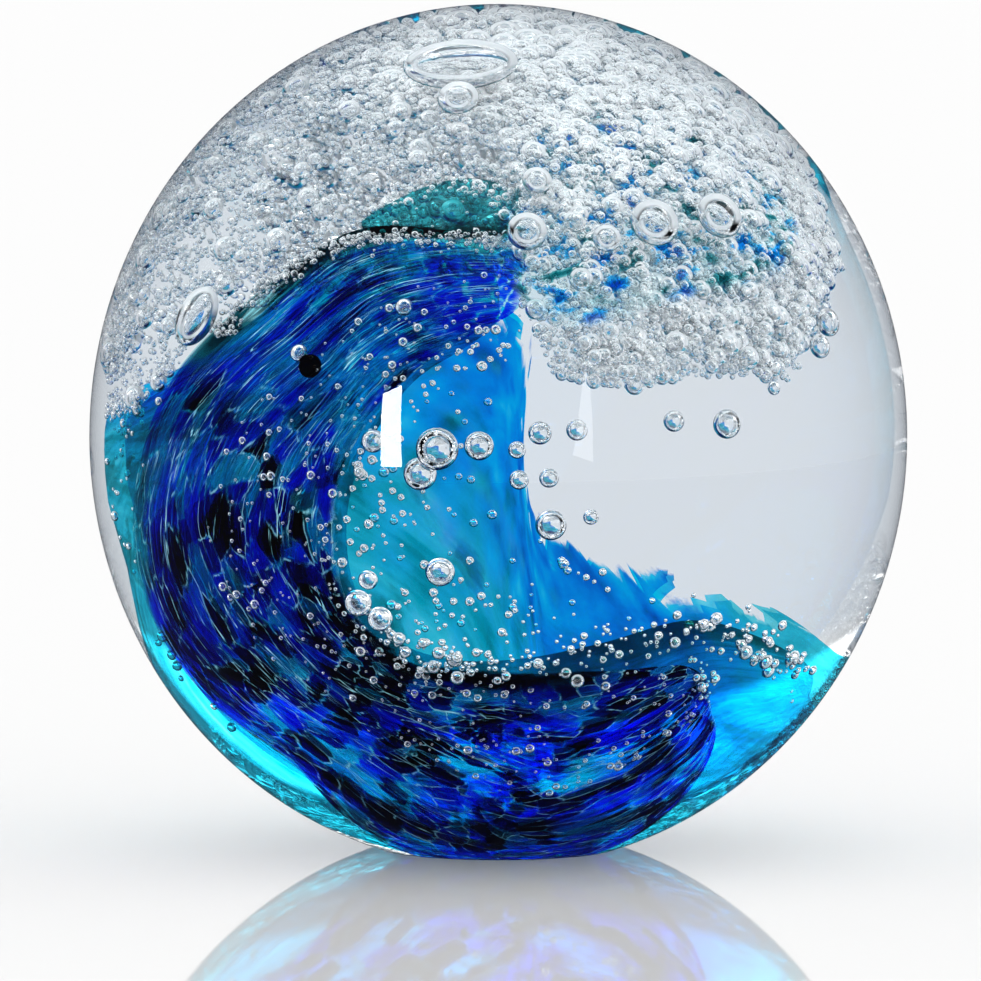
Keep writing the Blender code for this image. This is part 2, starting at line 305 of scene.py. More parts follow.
class Recipe:
    """A node tree that is written as expressions."""

    def __init__(self, tree):
        self.tree = tree
        tree.nodes.clear()

    def add(self, kind, settings=None, inputs=None, out=0):
        """One node: its settings first, then the values or links of its sockets. Gives one output."""
        node = self.tree.nodes.new(kind)
        for key, value in (settings or {}).items():
            if key == "stops":
                while len(node.color_ramp.elements) < len(value):
                    node.color_ramp.elements.new(1.0)
                for element, (position, colour) in zip(node.color_ramp.elements, value):
                    element.position = position
                    element.color = (*colour, 1.0)
            else:
                setattr(node, key, value)
        for key, value in (inputs or {}).items():
            socket = node.inputs[key]
            if isinstance(value, Wire):
                self.tree.links.new(value.socket, socket)
            else:
                socket.default_value = value
        return Wire(self, node.outputs[out]) if node.outputs else None

    def ramp(self, value, *stops):
        """A colour for a number, with (position, colour) stops."""
        return self.add("ShaderNodeValToRGB", {"stops": stops}, {0: value})

    def step(self, value, low, high):
        """0 below low, 1 above high, and smooth between."""
        return self.add(
            "ShaderNodeMapRange",
            {"interpolation_type": "SMOOTHSTEP"},
            {"Value": value, "From Min": low, "From Max": high},
        )

    def mix(self, factor, a, b):
        """Two colours mixed."""
        return self.add("ShaderNodeMix", {"data_type": "RGBA"}, {0: factor, 6: a, 7: b}, out=2)

    def scaled(self, vector, scale, turn=0.0, move=(0, 0, 0)):
        """A coordinate stretched, turned about Z and moved."""
        return self.add(
            "ShaderNodeMapping",
            None,
            {"Vector": vector, "Location": move, "Rotation": (0, 0, turn), "Scale": scale},
        )

    def warped(self, vector, scale, amount, seed=0.0):
        """A coordinate pushed about by noise, as hot glass is."""
        noise = self.add(
            "ShaderNodeTexNoise",
            {"noise_dimensions": "4D"},
            {"Vector": vector, "W": seed, "Scale": scale, "Detail": 2.0},
            out="Color",
        )
        centred = self.add(
            "ShaderNodeVectorMath", {"operation": "SUBTRACT"}, {0: noise, 1: (0.5, 0.5, 0.5)}
        )
        return self.add(
            "ShaderNodeVectorMath",
            {"operation": "MULTIPLY_ADD"},
            {0: centred, 1: (amount, amount, amount), 2: vector},
        )

    def noise(self, vector, scale, seed=0.0, detail=3.0):
        """Soft noise from 0 to 1."""
        return self.add(
            "ShaderNodeTexNoise",
            {"noise_dimensions": "4D"},
            {"Vector": vector, "W": seed, "Scale": scale, "Detail": detail},
        )

    def cells(self, vector, edges=False):
        """Irregular flat cells: their random colour, or the distance to the nearest edge."""
        return self.add(
            "ShaderNodeTexVoronoi",
            {"voronoi_dimensions": "2D", "feature": "DISTANCE_TO_EDGE" if edges else "F1"},
            {"Vector": vector, "Scale": 1.0},
            out="Distance" if edges else "Color",
        )

    def principled(self, colour, **values):
        """A Principled shader. Its names are written with _ for a space."""
        inputs = {key.replace("_", " "): value for key, value in values.items()}
        return self.add("ShaderNodeBsdfPrincipled", None, {"Base Color": colour, **inputs})

    def surface(self, shader):
        """Ends the tree with this shader."""
        self.add("ShaderNodeOutputMaterial", None, {"Surface": shader})


def material(name):
    """A new material and the recipe for its nodes."""
    made = bpy.data.materials.new(name)
    made.use_nodes = True
    return made, Recipe(made.node_tree)


# %% [markdown]
# ## Clear glass
#
# The casing and the core are the same clear glass, melted together, so they are one piece here. It has
# a faint cool tint, and a lilac grey line of painted shade along its thin rim, where the surface is seen
# edge on.
# The ball starts as a plain ball, is stretched to the ellipsoid, and its bottom is cut off level.

# %% Clear ball
clear_glass, r = material("clear_glass")
facing = r.add("ShaderNodeLayerWeight", None, {"Blend": 0.25}, out="Facing")
# The last stop of this ramp paints a lilac grey shade on the rim, where the surface is seen edge on.
tint_with_painted_rim = r.ramp(
    facing,
    (0.0, (0.93, 0.955, 0.965)),
    (0.90, (0.93, 0.95, 0.965)),
    (1.0, (0.45, 0.46, 0.56)),
)
r.surface(r.principled(tint_with_painted_rim, Roughness=0.0, IOR=GLASS_IOR, Transmission_Weight=1.0))

ball = bmesh.new()
bmesh.ops.create_uvsphere(ball, u_segments=224, v_segments=112, radius=1.0)
bmesh.ops.scale(ball, vec=(BALL_RADIUS, BALL_RADIUS, BALL_HALF_HEIGHT), verts=ball.verts)
bmesh.ops.translate(ball, vec=CENTRE, verts=ball.verts)
cut = bmesh.ops.bisect_plane(
    ball,
    geom=ball.verts[:] + ball.edges[:] + ball.faces[:],
    plane_co=(0, 0, 0),
    plane_no=(0, 0, -1),
    clear_outer=True,
)
rim = [part for part in cut["geom_cut"] if isinstance(part, bmesh.types.BMEdge)]
bmesh.ops.contextual_create(ball, geom=rim)
clear_ball = finish_mesh(ball, "clear_ball", clear_glass, ("clear_casing", "clear_core"))
SHARP_ANGLE = math.radians(40)
clear_ball.data.set_sharp_from_angle(angle=SHARP_ANGLE)

# %% [markdown]
# ## How coloured glass is shaded
#
# Coloured glass in clear glass bends light hardly at all. So its shader has an IOR of 1 and only tints
# what passes. Where it holds air or milky threads it scatters light too, and a rough surface of its own
# colour is mixed in there. The patterns follow the sheet's own UV map, which goes along and across it.

# %% Tinted glass
def tinted(recipe, tint, milk=None, milk_colour=None):
    """Glass that tints what passes, and turns to a milky colour of its own where milk is 1."""
    passing = recipe.principled(tint, Roughness=0.0, IOR=1.0, Transmission_Weight=1.0)
    if milk is None:
        recipe.surface(passing)
        return
    thread = recipe.principled(milk_colour, Roughness=0.8, IOR=1.0)
    recipe.surface(recipe.add("ShaderNodeMixShader", None, {0: milk, 1: passing, 2: thread}))


def flow_map(recipe):
    """The sheet's own map, and its two numbers: along it, and across it from front to back."""
    flow = recipe.add("ShaderNodeUVMap")
    split = recipe.add("ShaderNodeSeparateXYZ", None, {0: flow}).socket.node
    return flow, Wire(recipe, split.outputs["X"]), Wire(recipe, split.outputs["Y"])


# %% [markdown]
# ## Turquoise bowl
#
# The wave's back is a bowl of turquoise glass. It starts under the crest, goes round the left side and
# the back, and sweeps under the ball to a rounded tip at the right. Its stations are what makes that
# path, read off the photograph through the bend of the casing. At the left, underneath and at its tip
# it swells out towards the ball's skin, so that its colour reaches the rim.

# %% Bowl shape
BOWL_STATIONS = [
    ((0, 20), (-2, 32), (-3, 44)),
    ((-8, 17), (-14, 31), (-20, 46)),
    ((-18, 12), (-30, 27), (-42, 40)),
    ((-26, 3), (-46, 14), (-68, 20)),
    ((-32, -8), (-63, 0), (-98, 10)),
    ((-35, -20), (-84, -12), (-136, 12)),
    ((-35, -31), (-114, -28), (-168, 25)),
    ((-29, -41), (-140, -55), (-182, 22)),
    ((-15, -46), (-172, -76), (-181, 4)),
    ((3, -46), (150, -80), (-183, -6)),
    ((23, -42), (102, -66), (168, -11)),
    ((45, -35), (96, -52), (156, -15)),
    ((70, -35), (112, -44), (147, -19)),
    ((100, -35), (122, -38), (140, -28)),
    ((118, -36), (124, -37), (132, -34)),
]


# In millimetres
BOWL_INSET, BOWL_SWELL, BOWL_SIDE_SWELL, BOWL_TIP_SWELL = 1.2, 3.2, 1.6, 1.6
BOWL_THICKNESS = 1.4 * MM


def bowl_radius(along, across, down):
    """Just inside the wave in front, and out towards the skin at the left, underneath and at the tip."""
    swell = eased(across, 0.2, 0.6) * eased(down, 0.1, 0.6)
    side = eased(across, 0.55, 0.72) * (1 - eased(across, 0.85, 0.97))
    side *= eased(along, 0.15, 0.3) * (1 - eased(along, 0.55, 0.65))
    tip = eased(along, 0.8, 0.95)
    outwards = max(BOWL_SWELL * swell, BOWL_SIDE_SWELL * side, BOWL_TIP_SWELL * tip)
    return BODY_RADIUS + (outwards - BOWL_INSET) * MM


print("the bowl has", len(BOWL_STATIONS), "stations")

# %% [markdown]
# ## Turquoise glass
#
# Streaks and clouds of lighter and darker turquoise run along the bowl, with mossy drifts in it. Its
# lip is a dark green, its tip is lighter, and towards its back edge it turns azure and tears off in
# small blocks. Each of these is one noise or one limit along or across the sheet.

# %% Turquoise bowl
turquoise_glass, r = material("turquoise_glass")
flow, along, across = flow_map(r)
curved = r.warped(r.warped(flow, 3.0, 0.12), 11.0, 0.03, 1.0)
streaks = r.noise(r.scaled(curved, (16, 60, 1)), 1.0, seed=3.0, detail=4.0)
clouds = r.noise(r.scaled(curved, (52, 48, 1)), 1.0, seed=9.0, detail=6.0)
drifts = r.noise(r.scaled(curved, (20, 24, 1)), 1.0, seed=12.0, detail=4.0)
tint = r.ramp(
    streaks * 0.6 + clouds * 0.4,
    (0.32, (0.0, 0.12, 0.16)),
    (0.42, (0.0, 0.30, 0.42)),
    (0.50, (0.01, 0.48, 0.66)),
    (0.58, (0.04, 0.64, 0.82)),
    (0.68, (0.42, 0.90, 0.96)),
)
azure = r.ramp(
    clouds * 0.5 + drifts * 0.5,
    (0.36, (0.0, 0.05, 0.22)),
    (0.43, (0.0, 0.12, 0.62)),
    (0.50, (0.0, 0.26, 0.84)),
    (0.57, (0.0, 0.42, 0.90)),
    (0.66, (0.03, 0.66, 0.95)),
)
mossy = (1 - r.step(drifts, 0.40, 0.46)) * 0.8
near_tip = r.step(along, 0.72, 0.86)
tint = r.mix(mossy * (1 - near_tip), tint, (0.0, 0.13, 0.14, 1))
tint = r.mix(r.step(across + clouds * 0.4 - near_tip * 0.4, 1.0, 1.14), tint, azure)
tint = r.mix(near_tip * 0.4, tint, (0.05, 0.78, 0.96, 1))
lip = (1 - r.step(across + (streaks - 0.5) * 0.3, 0.02, 0.16)) * r.step(along, 0.60, 0.70)
tint = r.mix(lip, tint, (0.01, 0.14, 0.12, 1))
blocks = r.add("ShaderNodeSeparateColor", None, {0: r.cells(r.scaled(curved, (80, 70, 1), turn=0.5))})
torn = r.step(across + (blocks - 0.5) * 0.03 + (clouds - 0.5) * 0.05, 0.970, 0.976)
tint = r.mix(torn, tint, (1, 1, 1, 1))
tinted(r, tint)
finish_mesh(
    pressed_sheet(BOWL_STATIONS, bowl_radius, BOWL_THICKNESS, 72, 110),
    "turquoise_bowl_glass",
    turquoise_glass,
    "turquoise_bowl",
)

# %% [markdown]
# ## Cobalt wave
#
# The wave itself is cobalt glass, wound on as a thick ribbon that curls from the crest at the right,
# round the left side and under the ball. It is the same kind of pressed sheet as the bowl and lies just
# outside it. Its stations follow the dark C of the photograph, and underneath it swells outwards too, so
# that the blue fills the bottom of the ball.

# %% Wave shape
WAVE_STATIONS = [
    ((4, 21), (3, 33), (3, 44)),
    ((-8, 18), (-14, 32), (-20, 46)),
    ((-18, 13), (-29, 27), (-41, 43)),
    ((-27, 4), (-42, 15), (-60, 28)),
    ((-33, -7), (-57, 2), (-84, 8)),
    ((-36, -19), (-67, -13), (-96, -8)),
    ((-37, -30), (-68, -28), (-98, -24)),
    ((-31, -40), (-63, -44), (-96, -42)),
    ((-17, -46), (-52, -60), (-93, -58)),
    ((0, -47), (-30, -77), (-166, -55)),
    ((22, -44), (60, -82), (170, -54)),
    ((44, -40), (68, -58), (108, -62)),
    ((58, -43), (66, -50), (78, -54)),
]
WAVE_SWELL = 2.6 * MM
WAVE_THICKNESS = 0.7 * MM


def wave_radius(along, across, down):
    """The body's own radius, swelling out underneath."""
    return BODY_RADIUS + WAVE_SWELL * eased(across, 0.35, 0.95) * eased(down, 0.0, 0.55)


print("the wave has", len(WAVE_STATIONS), "stations")

# %% [markdown]
# ## Where a place lies on the wave
#
# The wave looks different from end to end. Near the crest it was pulled so hard that its colours run
# together like silk, at the left it is drawn into long flecks, and underneath and at the right it stays
# rounder. Three soft masks along the sheet's own map say which stretch a place is in. The map is bent
# by noise first, because hot glass never flows quite straight.

# %% Masks of the wave
class WaveMap:
    """The bent map of one sheet of the wave, its masks, and the two noises that its patterns share."""

    def __init__(self, r, seed):
        self.flow, self.along, self.across = flow_map(r)
        self.curved = r.warped(r.warped(self.flow, 3.0, 0.14, seed), 12.0, 0.05, seed + 1)
        self.wander = (r.noise(self.flow, 6.0, seed) - 0.5) * 0.16
        self.silky = 1 - r.step(self.along + self.wander, 0.22, 0.34)
        self.under = r.step(self.along + self.wander, 0.52, 0.56)
        self.right = r.step(self.along + self.wander, 0.74, 0.79)
        self.grain = r.noise(r.scaled(self.curved, (26, 90, 1)), 1.0, seed + 2, detail=3.0)
        self.patch = r.noise(r.scaled(self.curved, (8, 4, 1)), 1.0, seed + 6, detail=2.0)


# %% [markdown]
# ## Chips in the cobalt
#
# Before it was wound on, the cobalt was rolled in coarse chips of turquoise and navy. A cell pattern
# gives them: each cell is one chip, and its random number picks its colour, from near black over navy
# and cobalt to turquoise. In the silky stretch a stretched noise takes the cells' place. A picture could
# give the same look from one side only, and the pattern goes round the whole sheet.

# %% Chips of the wave
def wave_chips(r, at, seed):
    """Each place's number, low for black and high for pale turquoise, and its distance to an edge."""
    drawn = r.scaled(at.curved, (25, 15, 1), turn=0.12, move=(seed, seed, 0))
    rounder = r.scaled(at.curved, (44, 19, 1), turn=0.4, move=(seed, 0, 0))
    slanted = r.scaled(at.curved, (38, 28, 1), turn=0.8, move=(0, seed, 0))
    edge = r.cells(drawn, edges=True) * (1 - at.under)
    edge = edge + r.cells(rounder, edges=True) * (at.under - at.right)
    edge = edge + r.cells(slanted, edges=True) * at.right
    chip = r.mix(at.right, r.mix(at.under, r.cells(drawn), r.cells(rounder)), r.cells(slanted))
    pick = r.add("ShaderNodeSeparateColor", None, {0: chip})
    flowing = r.noise(r.scaled(at.curved, (9, 30, 1)), 1.0, seed + 5, detail=4.0)
    loose = (flowing - 0.5) * 4.0 + 0.56
    upper = pick * (0.74 - at.silky * 0.52) + loose * (0.14 + at.silky * 0.72) + at.silky * 0.02
    pick = upper * (1 - at.under) + pick * at.under * 0.86 + at.patch * 0.40 - 0.14
    return pick, edge


def chip_colours(r, at, pick, dark):
    """The chips' colours, with a fine grain of lighter and darker blue along the flow."""
    heart = r.ramp(
        pick,
        (0.0, (0.0, 0.0, 0.004)),
        (dark, (0.0, 0.0, 0.012)),
        (dark + 0.07, (0.0, 0.002, 0.20)),
        (0.48, (0.0, 0.004, 0.66)),
        (0.57, (0.0, 0.014, 0.96)),
        (0.67, (0.0, 0.08, 1.0)),
        (0.72, (0.0, 0.28, 0.62)),
        (0.82, (0.0, 0.48, 0.70)),
        (0.90, (0.08, 0.84, 0.94)),
    )
    lit = r.step(at.grain, 0.55, 0.63) * r.step(pick, dark, dark + 0.2)
    body = r.mix(lit * 0.6, heart, (0.0, 0.16, 0.90, 1))
    dim = 1 - r.step(at.grain, 0.38, 0.45)
    return r.mix(dim * (0.4 + at.silky * 0.2), body, (0.0, 0.001, 0.05, 1))


# %% [markdown]
# ## The crest's plumes and knot
#
# In the silky stretch turquoise plumes lie over the cobalt. At the crest's end the ribbon was pinched
# off: a bright knot of cobalt, crossed by pale cracks. Both are drawn over the chips' colours, the knot
# by two soft limits along and across, the cracks by the edges of a coarser cell pattern.

# %% Crest of the wave
def crest_colours(r, at, body, seed):
    """The chips' colours with the crest's plumes and knot laid over them."""
    plume = r.noise(r.scaled(at.curved, (12, 17, 1), turn=0.1), 1.0, seed + 11, detail=5.0)
    feather = r.step(plume, 0.48, 0.51) * at.silky * r.step(at.grain, 0.38, 0.43)
    feathered = r.ramp(plume, (0.49, (0.0, 0.38, 0.50)), (0.57, (0.08, 0.86, 0.94)))
    body = r.mix(feather, body, feathered)
    knot = 1 - r.step(at.along + at.wander * 0.4, 0.095, 0.12)
    knot = knot * r.step(at.across + at.wander, 0.08, 0.16)
    knot = knot * (1 - r.step(at.across + at.wander, 0.62, 0.72))
    crazed = r.cells(r.scaled(at.curved, (44, 9, 1), turn=0.3), edges=True)
    body = r.mix(knot, body, (0.0, 0.03, 0.92, 1))
    return r.mix(knot * (1 - r.step(crazed, 0.04, 0.10)), body, (0.45, 0.92, 0.98, 1))


# %% [markdown]
# ## Threads
#
# Fine threads of turquoise run through the cobalt. Some are veins that follow the flow, where a
# stretched noise crosses its middle value. The others are rinds, where two chips meet. A second noise
# breaks both up, so that no thread runs the whole length.

# %% Threads of the wave
def wave_threads(r, at, edge, seed):
    """1 on a thread, and 0 beside it."""
    stream = r.noise(r.scaled(at.curved, (9, 34, 1)), 1.0, seed + 8, detail=2.0) - 0.5
    vein = 1 - r.step(stream.math("ABSOLUTE", stream), 0.004, 0.016)
    shown = r.step(r.noise(at.flow, 16.0, seed + 9), 0.48 - at.silky * 0.10, 0.58)
    vein = vein * shown * (1 - at.right)
    rind = 1 - r.step(edge + (at.grain - 0.5) * 0.22, 0.0, 0.09)
    shown = r.step(r.noise(at.flow, 13.0, seed + 3), 0.38, 0.56)
    rind = rind * shown * (0.8 + at.under * 0.2 - at.silky * 0.5)
    return vein.math("MAXIMUM", vein, rind)


# %% [markdown]
# ## Cobalt glass
#
# The finish puts the patterns together. The wave's lip is in deep shade underneath, its back edge has
# teal banks at the left and a near black crown along the crest, and where the cobalt was rolled thin it
# has gaps that let the turquoise through. It is glass that tints what passes, but for the threads: they
# hold air and scatter light, so they are milky. Two sheets of the same recipe, one 0.9 mm deeper and
# darker, give the chips depth.

# %% Cobalt wave
NAVY_DEPTH = 0.9 * MM
NAVY_THICKNESS = 0.4 * MM


def wave_glass(name, seed, dark, open_share, thin):
    """Cobalt glass with drawn-out chips. A higher dark has more black, a higher open_share fewer gaps,
    and a higher thin more gaps near the crest."""
    made, r = material(name)
    at = WaveMap(r, seed)
    along, across, grain = at.along, at.across, at.grain
    pick, edge = wave_chips(r, at, seed)
    body = crest_colours(r, at, chip_colours(r, at, pick, dark), seed)
    thread = wave_threads(r, at, edge, seed)
    tint = r.mix(thread, body, (0.04, 0.70, 0.86, 1))
    shade = 1 - r.step(across, 0.02, 0.12)
    shade = shade * r.step(along, 0.5, 0.6) * (1 - r.step(along, 0.8, 0.88))
    tint = r.mix(shade, tint, (0.0, 0.001, 0.006, 1))
    bank = r.step(across + (grain - 0.5) * 0.25, 0.84, 0.93) * (1 - r.step(along, 0.5, 0.62))
    bank = bank * r.step(along, 0.22, 0.30) * r.step(at.patch, 0.42, 0.52)
    tint = r.mix(bank, tint, (0.02, 0.46, 0.56, 1))
    crown = r.step(across + (grain - 0.5) * 0.2, 0.83, 0.92) * (1 - r.step(along, 0.28, 0.34))
    tint = r.mix(crown, tint, (0.0, 0.012, 0.02, 1))
    inside = across * (1 - across) * along * (1 - along)
    margin = r.step(inside + (grain - 0.5) * 0.006, 0.0, 0.004)
    gap = at.patch * 0.6 + r.noise(at.flow, 14.0, seed + 4) * 0.4 + at.silky * thin
    gap = r.step(gap, open_share, open_share + 0.03)
    tint = r.mix(margin * (1 - gap), (0.6, 0.95, 0.98, 1), tint)
    line = thread * r.step(grain, 0.44, 0.56) * (1 - shade) * (1 - crown)
    opal = r.step(pick, dark + 0.1, dark + 0.3) * 0.06
    opal = opal * (1 - shade) * (1 - gap) * (1 - at.silky)
    milk = line.math("MAXIMUM", line * 0.85, opal)
    tinted(r, tint, milk, r.mix(line, tint, (0.50, 0.92, 0.98, 1)))
    return made


finish_mesh(
    pressed_sheet(WAVE_STATIONS, wave_radius, WAVE_THICKNESS, 64, 160),
    "cobalt_wave_glass",
    wave_glass("cobalt_glass", seed=1.7, dark=0.25, open_share=0.62, thin=0.0),
    "cobalt_wave",
)
finish_mesh(
    pressed_sheet(
        WAVE_STATIONS[1:-1], lambda *at: wave_radius(*at) - NAVY_DEPTH, NAVY_THICKNESS, 56, 120
    ),
    "navy_chips",
    wave_glass("navy_glass", seed=6.3, dark=0.34, open_share=0.50, thin=0.25),
)

# %% [markdown]
# ## Crest tongue
#
# A leaf of teal glass lies along the top of the crest, with a near black lower edge. It is a thin
# pressed sheet just outside the wave, clouded by one noise, and it only tints what passes.

# %% Crest tongue
TONGUE_STATIONS = [
    ((-37, 42), (-38, 44)),
    ((-29, 41), (-31, 49)),
    ((-18, 41), (-20, 54)),
    ((-7, 41), (-7, 55)),
    ((4, 42), (6, 51)),
]
TONGUE_LIFT = 0.6 * MM
TONGUE_THICKNESS = 0.8 * MM
teal_glass, r = material("teal_glass")
flow, along, across = flow_map(r)
curved = r.warped(flow, 4.0, 0.12, 2.0)
grain = r.noise(r.scaled(curved, (5, 9, 1)), 1.0, seed=2.0, detail=5.0)
teal = r.ramp(
    grain,
    (0.34, (0.0, 0.20, 0.24)),
    (0.46, (0.03, 0.44, 0.50)),
    (0.58, (0.10, 0.62, 0.66)),
    (0.70, (0.55, 0.90, 0.92)),
)
rim_dark = 1 - r.step(across * (1 - across) * along * (1 - along) * 16, 0.02, 0.3)
teal = r.mix(rim_dark * 0.6, teal, (0.01, 0.20, 0.22, 1))
lower_edge = 1 - r.step(across + (grain - 0.5) * 0.3, 0.12, 0.30)
tinted(r, r.mix(lower_edge, teal, (0.0, 0.04, 0.045, 1)))
finish_mesh(
    pressed_sheet(
        TONGUE_STATIONS, lambda *at: BODY_RADIUS + TONGUE_LIFT, TONGUE_THICKNESS, 32, 40
    ),
    "crest_tongue_glass",
    teal_glass,
    "crest_tongue",
)

# %% [markdown]
# ## Azure spray
#
# Torn patches of azure and cobalt hang in the foam, to the right of the crest. One thin sheet carries
# them all: a noise picks where it is blue or teal, and it is almost clear between.

# %% Azure spray
SPRAY_STATIONS = [
    ((-4, 31), (-3, 41)),
    ((8, 21), (6, 60)),
    ((20, 22), (12, 70)),
    ((36, 26), (30, 72)),
    ((54, 28), (60, 68)),
    ((70, 32), (82, 58)),
    ((82, 36), (90, 48)),
]
SPRAY_LIFT = 1.8 * MM
SPRAY_THICKNESS = 0.6 * MM
azure_glass, r = material("azure_glass")
flow, along, across = flow_map(r)
patches = r.noise(r.scaled(r.warped(flow, 4.0, 0.2, 3.0), (11, 13, 1)), 1.0, seed=4.0, detail=5.0)
inside = r.step(across * (1 - across) * along * (1 - along), 0.0, 0.012)
hue = r.ramp(
    patches,
    (0.34, (0.0, 0.10, 0.12)),
    (0.40, (0.02, 0.34, 0.38)),
    (0.44, (0.86, 0.96, 0.97)),
    (0.53, (0.88, 0.97, 0.98)),
    (0.56, (0.02, 0.52, 0.96)),
    (0.62, (0.0, 0.22, 0.90)),
    (0.70, (0.0, 0.08, 0.36)),
)
tinted(r, r.mix(inside, (1, 1, 1, 1), hue))
finish_mesh(
    pressed_sheet(SPRAY_STATIONS, lambda *at: BODY_RADIUS + SPRAY_LIFT, SPRAY_THICKNESS, 32, 48),
    "azure_spray_glass",
    azure_glass,
    "azure_spray",
)

# %% [markdown]
# ## Air in the glass
#
# A bubble is air inside glass, so its IOR is the glass's turned upside down. Past about two thirds of
# its radius it mirrors, which gives the silvery ring, and its middle shows everything behind it, made
# small. The photograph is lit from above and is sharpened. Here each bubble has painted shade, a dark
# teal crescent below, and a painted highlight, a pale arc above. Layer Weight finds the edge, and the
# bubble's own normal finds the side that faces the light. Each kind of bubble has its own strengths of the
# two.

# %% Air
def air_glass(name, ring, climb, depth, glint, teal):
    """Air in glass, with painted shade and a painted highlight. The painted shade is a crescent that starts
    at ring, from the middle outwards, ends where the side faces the light by climb, and has the strength of
    depth and the colour teal. The painted highlight is a pale arc with the strength of glint."""
    made, r = material(name)
    edge_on = r.add("ShaderNodeLayerWeight", None, {"Blend": 0.5}, out="Facing")
    normal = r.add("ShaderNodeTexCoord", out="Normal")
    split = r.add("ShaderNodeSeparateXYZ", None, {0: normal}).socket.node
    lit_side = Wire(r, split.outputs["Z"]) + Wire(r, split.outputs["X"]) * 0.3
    # Painted shade: crescent is a dark rim on the side of the bubble away from the light.
    painted_shade = r.step(edge_on, ring, ring + 0.16) * (1 - r.step(lit_side, climb - 0.45, climb))
    # Painted highlight: arc is a pale band on the side of the bubble that faces the light.
    painted_highlight = r.step(edge_on, 0.20, 0.36) * (1 - r.step(edge_on, 0.74, 0.88))
    painted_highlight = painted_highlight * r.step(lit_side, climb - 0.05, climb + 0.30)
    clear = r.principled((1, 1, 1, 1), Roughness=0.0, IOR=1 / GLASS_IOR, Transmission_Weight=1.0)
    # pale is the painted highlight's white, and dark is the painted shade's colour.
    pale = r.principled((0.97, 0.985, 1, 1), Roughness=0.6, IOR=1.0)
    dark = r.principled(teal, Roughness=0.6, IOR=1.0)
    upper = r.add("ShaderNodeMixShader", None, {0: painted_highlight * glint, 1: clear, 2: pale})
    r.surface(r.add("ShaderNodeMixShader", None, {0: painted_shade * depth, 1: upper, 2: dark}))
    return made


# The last colour of each kind is its painted shade, and glint is the strength of its painted highlight.
trapped_air = air_glass("trapped_air", 0.60, 0.55, 0.95, 0.15, (0.001, 0.03, 0.09, 1))
dome_air = air_glass("dome_air", 0.62, 0.05, 0.85, 0.95, (0.002, 0.12, 0.16, 1))
wave_air = air_glass("wave_air", 0.38, 0.10, 0.9, 0.8, (0.003, 0.07, 0.09, 1))
foam_air = air_glass("foam_air", 0.44, 0.0, 0.24, 0.85, (0.0, 0.24, 0.36, 1))
airs = (trapped_air, dome_air, wave_air, foam_air)
print("kinds of air:", ", ".join(air.name for air in airs))

# %% [markdown]
# ## Bubble shapes
#
# There are about 20,000 bubbles, so the smaller ones have only 24, 48 or 96 faces, and only the few
# large ones have 1536. Smooth shading makes them look round. A shape is made once and stamped into one
# mesh per group, because thousands of objects would be slow.

# %% Bubble shapes
def bubble_shape(segments, rings):
    """A round bubble of radius 1 to be stamped into a piece."""
    bm = bmesh.new()
    bmesh.ops.create_uvsphere(bm, u_segments=segments, v_segments=rings, radius=1.0)
    mesh = bpy.data.meshes.new("bubble")
    bm.to_mesh(mesh)
    bm.free()
    return mesh


TINY, SMALL = bubble_shape(6, 4), bubble_shape(8, 6)
MEDIUM, FINE = bubble_shape(12, 8), bubble_shape(48, 32)


def stamp(bm, shape, centre, size, spin=0.0):
    """Adds one bubble. Its size is a radius, or a radius along each axis, turned in the picture."""
    axes = size if isinstance(size, tuple) else (size, size, size)
    move = Matrix.Translation(centre) @ Matrix.Rotation(spin, 4, "Y") @ Matrix.Diagonal((*axes, 1))
    shape.transform(move)
    bm.from_mesh(shape)
    shape.transform(move.inverted())


print("fine bubbles have", len(FINE.polygons), "faces")

# %% [markdown]
# ## The foam's lower edge
#
# The foam is a cap of fine bubbles over the top of the body. Its lower edge follows the crest on the
# left and hangs free on the right, as the photograph shows. It is a closed line of places round the
# body, each a longitude and a latitude, eased from one to the next.

# %% Foam edge
FOAM_EDGE = [
    (-175, 21), (-150, 18), (-125, 10), (-106, 2), (-95, 4),
    (-85, 10), (-70, 22), (-60, 30), (-52, 36), (-41, 42),
    (-28, 46), (-14, 47), (-4, 44), (1, 36), (4, 22),
    (9, 13), (22, 11), (40, 13), (59, 12), (70, 19),
    (90, 28), (120, 38), (150, 30),
]


def foam_edge(lon):
    """The latitude of the foam's lower edge at any longitude."""
    lon = (lon + 180) % 360 - 180
    edge = [(FOAM_EDGE[-1][0] - 360, FOAM_EDGE[-1][1]), *FOAM_EDGE]
    edge.append((FOAM_EDGE[0][0] + 360, FOAM_EDGE[0][1]))
    for (west, low), (east, high) in zip(edge, edge[1:]):
        if west <= lon <= east:
            t = (lon - west) / (east - west)
            return low + (high - low) * t * t * (3 - 2 * t)
    return edge[0][1]


print("the foam's edge at the front is at latitude", foam_edge(0))

# %% [markdown]
# ## Foam bubbles
#
# On the real ball a powder fizzes between two gathers of glass. Here the bubbles are scattered with a
# fixed seed, evenly over the sphere above the edge: a random longitude, and a latitude whose sine is
# random. They are finer on the left and coarser at the right and near the top. Stretched noise opens
# gaps in the fine part. Away from the edge the layer lifts off the body, and it is about 1.4 mm thick.
# It is split into batches, so that no piece has too many triangles.

# %% Foam bubbles
FOAM_BUBBLES, FOAM_BATCHES = 18400, 8
FOAM_SEED = 11
# In millimetres
FOAM_LIFT, FOAM_LIFT_COARSE, FOAM_HALF_THICKNESS = 3.4, 1.6, 0.7
BUBBLE_RADIUS, BUBBLE_RADIUS_COARSE = 0.18, 0.09
BIG_LOW, BIG_HIGH = 0.5, 1.1
# In degrees of longitude and latitude
STREAK_LENGTH, STREAK_HEIGHT = 26, 2.6


